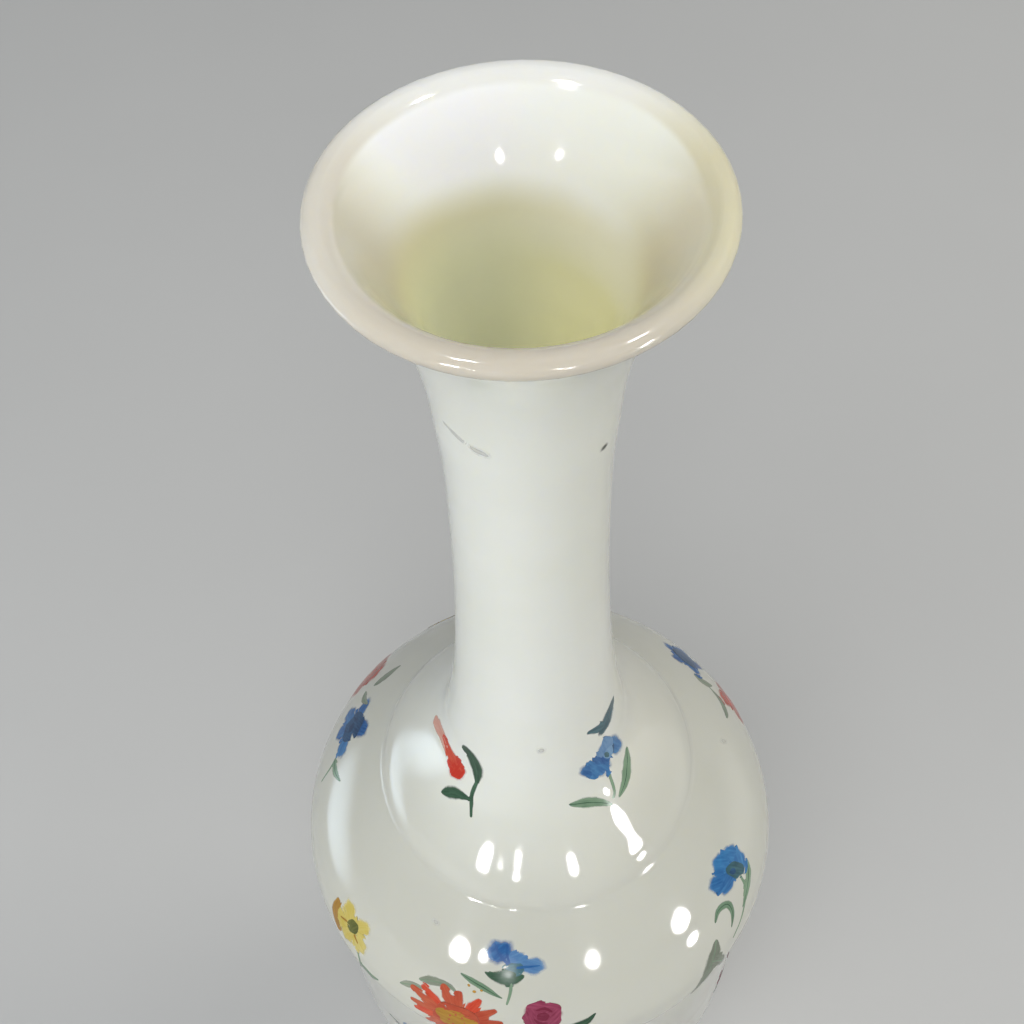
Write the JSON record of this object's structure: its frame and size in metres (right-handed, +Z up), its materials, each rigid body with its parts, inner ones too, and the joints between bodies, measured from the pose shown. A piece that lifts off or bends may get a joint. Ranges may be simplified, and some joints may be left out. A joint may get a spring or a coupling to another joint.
{
  "type": "bottle vase",
  "caption": "White opal glass bottle vase: trumpet mouth with rolled lip, long waisted neck, domed collar, round shoulder over a crease, barrel body on a ring foot, scattered painted flowers.",
  "frame": {"origin": "centre of the ring foot, on the surface that the vase stands on", "axes": "+Z up along the vase's axis of turning, towards the mouth; +Y away from the picture's viewer"},
  "size_m": [0.0925, 0.0924, 0.31],
  "materials": {
    "opal_glass": "gloss"
  },
  "bodies": {
    "root": {"vase": "opal_glass"}
  },
  "joints": []
}
